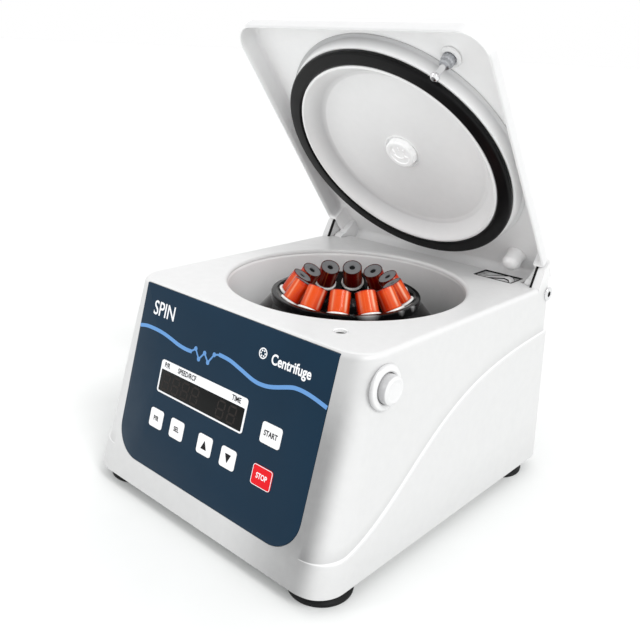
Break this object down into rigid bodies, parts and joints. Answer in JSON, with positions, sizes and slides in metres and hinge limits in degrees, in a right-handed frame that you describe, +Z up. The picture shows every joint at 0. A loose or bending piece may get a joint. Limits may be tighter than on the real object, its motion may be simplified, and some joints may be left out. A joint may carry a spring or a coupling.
{
  "type": "benchtop centrifuge",
  "caption": "Benchtop laboratory centrifuge with a hinged lid, a sloped key panel and an angle rotor that holds capped sample tubes.",
  "frame": {"origin": "middle of the bounding box's base, on the surface the feet stand on, with the lid open as at rest", "axes": "+X to the side with the lid release button, +Y from the control panel to the hinge at the rear, +Z up"},
  "size_m": [0.28, 0.3314, 0.3965],
  "materials": {
    "casing_white": "glossy white moulded plastic",
    "bezel_white": "glossy white",
    "base_zinc": "zinc plated sheet",
    "foot_rubber": "matt black",
    "panel_navy": "satin navy membrane",
    "window_black": "glossy black",
    "module_black": "matt black",
    "board_green": "solder mask green",
    "key_white": "satin white",
    "key_red": "satin red",
    "bowl_white": "light grey",
    "motor_black": "black paint",
    "damper_rubber": "matt black",
    "shaft_steel": "turned",
    "rotor_black": "high gloss black",
    "nut_black": "satin black",
    "tube_orange": "glossy orange cap",
    "lid_white": "glossy white",
    "liner_white": "glossy white",
    "gasket_rubber": "black",
    "port_white": "glossy white",
    "striker_chrome": "polished",
    "boss_white": "white",
    "screw_steel": "plain",
    "button_white": "glossy white",
    "latch_zinc": "zinc plated",
    "guide_black": "black",
    "switch_body": "white",
    "lever_white": "white",
    "inlet_black": "black",
    "core_steel": "laminated steel core"
  },
  "bodies": {
    "casing": {"main_housing": "casing_white", "button_bezel": "bezel_white", "base_plate": "base_zinc", "foot_front_left": "foot_rubber", "foot_front_right": "foot_rubber", "foot_rear_left": "foot_rubber", "foot_rear_right": "foot_rubber", "front_panel": "panel_navy", "display_window": "window_black", "display_module": "module_black", "control_board": "board_green", "chamber_bowl": "bowl_white", "motor_housing": "motor_black", "motor_mount_plate": "motor_black", "damper_mount_1": "damper_rubber", "damper_mount_2": "damper_rubber", "damper_mount_3": "damper_rubber", "damper_mount_4": "damper_rubber", "hinge_screw_left": "screw_steel", "hinge_screw_right": "screw_steel", "latch_guide": "guide_black", "lid_switch_housing": "switch_body", "power_inlet": "inlet_black", "switch_frame": "inlet_black", "transformer": "core_steel"},
    "lid": {"lid_shell": "lid_white", "lid_liner": "liner_white", "lid_gasket": "gasket_rubber", "lid_port": "port_white", "striker_pin": "striker_chrome", "lid_switch_boss": "boss_white"},
    "rotor": {"rotor_body": "rotor_black", "rotor_nut": "nut_black", "drive_shaft": "shaft_steel"},
    "tube_01": {"sample_tube_01": "tube_orange"},
    "tube_02": {"sample_tube_02": "tube_orange"},
    "tube_03": {"sample_tube_03": "tube_orange"},
    "tube_04": {"sample_tube_04": "tube_orange"},
    "tube_05": {"sample_tube_05": "tube_orange"},
    "tube_06": {"sample_tube_06": "tube_orange"},
    "tube_07": {"sample_tube_07": "tube_orange"},
    "tube_08": {"sample_tube_08": "tube_orange"},
    "tube_09": {"sample_tube_09": "tube_orange"},
    "tube_10": {"sample_tube_10": "tube_orange"},
    "tube_11": {"sample_tube_11": "tube_orange"},
    "tube_12": {"sample_tube_12": "tube_orange"},
    "key_mode_cap": {"key_mode": "key_white"},
    "key_select_cap": {"key_select": "key_white"},
    "key_up_cap": {"key_up": "key_white"},
    "key_down_cap": {"key_down": "key_white"},
    "key_start_cap": {"key_start": "key_white"},
    "key_stop_cap": {"key_stop": "key_red"},
    "button": {"release_button": "button_white"},
    "latch": {"latch_slide": "latch_zinc"},
    "switch_lever": {"lid_switch_lever": "lever_white"},
    "rocker": {"switch_rocker": "inlet_black"}
  },
  "joints": [
    {"name": "lid_hinge", "type": "hinge", "parent": "casing", "child": "lid", "pos_m": [0, 0.13925, 0.173], "axis": [-1, 0, 0], "range_deg": [-52.7, 0]},
    {"name": "rotor_spin", "type": "hinge", "parent": "casing", "child": "rotor", "pos_m": [0, 0.01205, 0.112], "axis": [0, 0, 1], "continuous": true},
    {"name": "tube_01_lift", "type": "slide", "parent": "rotor", "child": "tube_01", "axis": [0.4506, 0.2926, 0.8434], "range_m": [0, 0.036]},
    {"name": "tube_02_lift", "type": "slide", "parent": "rotor", "child": "tube_02", "axis": [0.5366, 0.0281, 0.8434], "range_m": [0, 0.012]},
    {"name": "tube_03_lift", "type": "slide", "parent": "rotor", "child": "tube_03", "axis": [0.4787, -0.2439, 0.8434], "range_m": [0, 0.036]},
    {"name": "tube_04_lift", "type": "slide", "parent": "rotor", "child": "tube_04", "axis": [0.2926, -0.4506, 0.8434], "range_m": [0, 0.012]},
    {"name": "tube_05_lift", "type": "slide", "parent": "rotor", "child": "tube_05", "axis": [0.0281, -0.5366, 0.8434], "range_m": [0, 0.036]},
    {"name": "tube_06_lift", "type": "slide", "parent": "rotor", "child": "tube_06", "axis": [-0.2439, -0.4787, 0.8434], "range_m": [0, 0.012]},
    {"name": "tube_07_lift", "type": "slide", "parent": "rotor", "child": "tube_07", "axis": [-0.4506, -0.2926, 0.8434], "range_m": [0, 0.036]},
    {"name": "tube_08_lift", "type": "slide", "parent": "rotor", "child": "tube_08", "axis": [-0.5366, -0.0281, 0.8434], "range_m": [0, 0.012]},
    {"name": "tube_09_lift", "type": "slide", "parent": "rotor", "child": "tube_09", "axis": [-0.4787, 0.2439, 0.8434], "range_m": [0, 0.036]},
    {"name": "tube_10_lift", "type": "slide", "parent": "rotor", "child": "tube_10", "axis": [-0.2926, 0.4506, 0.8434], "range_m": [0, 0.012]},
    {"name": "tube_11_lift", "type": "slide", "parent": "rotor", "child": "tube_11", "axis": [-0.0281, 0.5366, 0.8434], "range_m": [0, 0.036]},
    {"name": "tube_12_lift", "type": "slide", "parent": "rotor", "child": "tube_12", "axis": [0.2439, 0.4787, 0.8434], "range_m": [0, 0.012]},
    {"name": "key_mode_press", "type": "slide", "parent": "casing", "child": "key_mode_cap", "axis": [0, 0.9655, -0.2603], "range_m": [0, 0.0005], "stiffness_N_per_m": 1500, "springref_m": -0.0003},
    {"name": "key_select_press", "type": "slide", "parent": "casing", "child": "key_select_cap", "axis": [0, 0.9655, -0.2603], "range_m": [0, 0.0005], "stiffness_N_per_m": 1500, "springref_m": -0.0003},
    {"name": "key_up_press", "type": "slide", "parent": "casing", "child": "key_up_cap", "axis": [0, 0.9655, -0.2603], "range_m": [0, 0.0005], "stiffness_N_per_m": 1500, "springref_m": -0.0003},
    {"name": "key_down_press", "type": "slide", "parent": "casing", "child": "key_down_cap", "axis": [0, 0.9655, -0.2603], "range_m": [0, 0.0005], "stiffness_N_per_m": 1500, "springref_m": -0.0003},
    {"name": "key_start_press", "type": "slide", "parent": "casing", "child": "key_start_cap", "axis": [0, 0.9655, -0.2603], "range_m": [0, 0.0005], "stiffness_N_per_m": 1500, "springref_m": -0.0003},
    {"name": "key_stop_press", "type": "slide", "parent": "casing", "child": "key_stop_cap", "axis": [0, 0.9655, -0.2603], "range_m": [0, 0.0005], "stiffness_N_per_m": 1500, "springref_m": -0.0003},
    {"name": "release_button_press", "type": "slide", "parent": "casing", "child": "button", "axis": [-1, 0, 0], "range_m": [0, 0.005], "stiffness_N_per_m": 600, "springref_m": -0.002},
    {"name": "latch_slide_shift", "type": "slide", "parent": "casing", "child": "latch", "axis": [-1, 0, 0], "range_m": [0, 0.005]},
    {"name": "switch_lever_tilt", "type": "hinge", "parent": "casing", "child": "switch_lever", "pos_m": [0.068, 0.12925, 0.1758], "axis": [0, 1, 0], "range_deg": [-0.5, 4.5]},
    {"name": "power_rocker", "type": "hinge", "parent": "casing", "child": "rocker", "pos_m": [-0.0355, 0.14625, 0.046], "axis": [-1, 0, 0], "range_deg": [0, 16]}
  ],
  "couplings": [
    {"joint": "latch_slide_shift", "follows": "release_button_press", "ratio": 1},
    {"joint": "switch_lever_tilt", "follows": "lid_hinge", "ratio": -0.0759}
  ]
}
